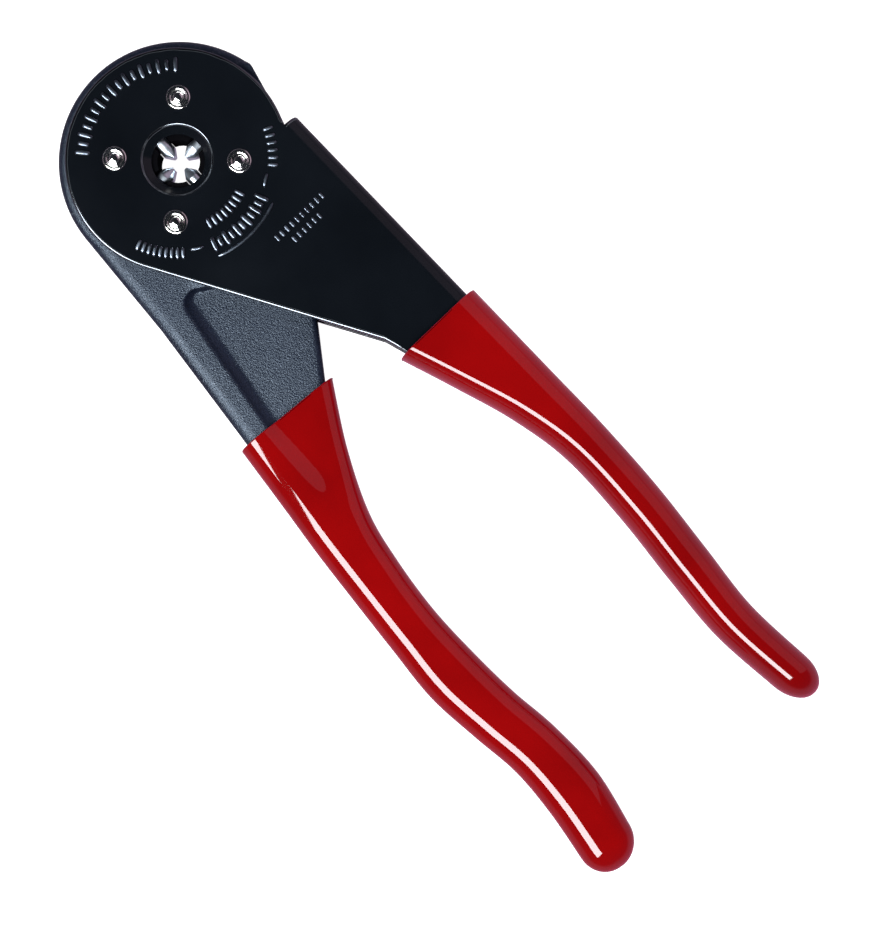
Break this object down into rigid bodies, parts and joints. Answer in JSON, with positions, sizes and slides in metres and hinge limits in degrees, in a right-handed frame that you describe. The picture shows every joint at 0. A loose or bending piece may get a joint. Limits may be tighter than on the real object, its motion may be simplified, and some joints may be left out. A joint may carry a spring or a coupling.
{
  "type": "four-way indenting crimp tool",
  "caption": "Hand crimp tool: a folded steel frame handle and a forged ring lever drive radial indenters into a round nest; red dipped vinyl grips.",
  "frame": {"origin": "middle of the tool's footprint, on the surface that it lies on", "axes": "+X from the head to the handles' ends, +Y towards the folded spine of the frame, +Z out of the front cheek"},
  "size_m": [0.2444, 0.0824, 0.018],
  "materials": {
    "frame_black": "satin black oxide over smooth sheet steel",
    "lever_black": "satin blue-black over a pebbled forging",
    "red_vinyl": "glossy dipped vinyl",
    "rivet_nickel": "bright nickel",
    "ground_steel": "ground and hardened",
    "block_steel": "black oxide",
    "spring_steel": "drawn music wire"
  },
  "bodies": {
    "frame": {"frame_channel": "frame_black", "frame_grip": "red_vinyl", "guide_block_1": "block_steel", "guide_block_2": "block_steel", "guide_block_3": "block_steel", "guide_block_4": "block_steel", "rivet_1": "rivet_nickel", "rivet_2": "rivet_nickel", "rivet_3": "rivet_nickel", "rivet_4": "rivet_nickel", "return_spring_1": "spring_steel", "return_spring_2": "spring_steel", "return_spring_3": "spring_steel", "return_spring_4": "spring_steel"},
    "lever": {"lever": "lever_black", "lever_grip": "red_vinyl"},
    "indenter_1": {"indenter_1": "ground_steel"},
    "indenter_2": {"indenter_2": "ground_steel"},
    "indenter_3": {"indenter_3": "ground_steel"},
    "indenter_4": {"indenter_4": "ground_steel"}
  },
  "joints": [
    {"name": "lever_swing", "type": "hinge", "parent": "frame", "child": "lever", "pos_m": [-0.09085, 0.00897, 0.009], "axis": [0, 0, 1], "range_deg": [-25, 11.5]},
    {"name": "indenter_1_slide", "type": "slide", "parent": "frame", "child": "indenter_1", "axis": [-1, 0, 0], "range_m": [-0.00239, 0.00111], "deforming": ["return_spring_1"]},
    {"name": "indenter_2_slide", "type": "slide", "parent": "frame", "child": "indenter_2", "axis": [0, -1, 0], "range_m": [-0.00239, 0.00111], "deforming": ["return_spring_2"]},
    {"name": "indenter_3_slide", "type": "slide", "parent": "frame", "child": "indenter_3", "axis": [1, 0, 0], "range_m": [-0.00239, 0.00111], "deforming": ["return_spring_3"]},
    {"name": "indenter_4_slide", "type": "slide", "parent": "frame", "child": "indenter_4", "axis": [0, 1, 0], "range_m": [-0.00239, 0.00111], "deforming": ["return_spring_4"]}
  ],
  "couplings": [
    {"joint": "indenter_1_slide", "follows": "lever_swing", "m_per_rad": 0.005443},
    {"joint": "indenter_2_slide", "follows": "lever_swing", "m_per_rad": 0.005443},
    {"joint": "indenter_3_slide", "follows": "lever_swing", "m_per_rad": 0.005443},
    {"joint": "indenter_4_slide", "follows": "lever_swing", "m_per_rad": 0.005443}
  ]
}
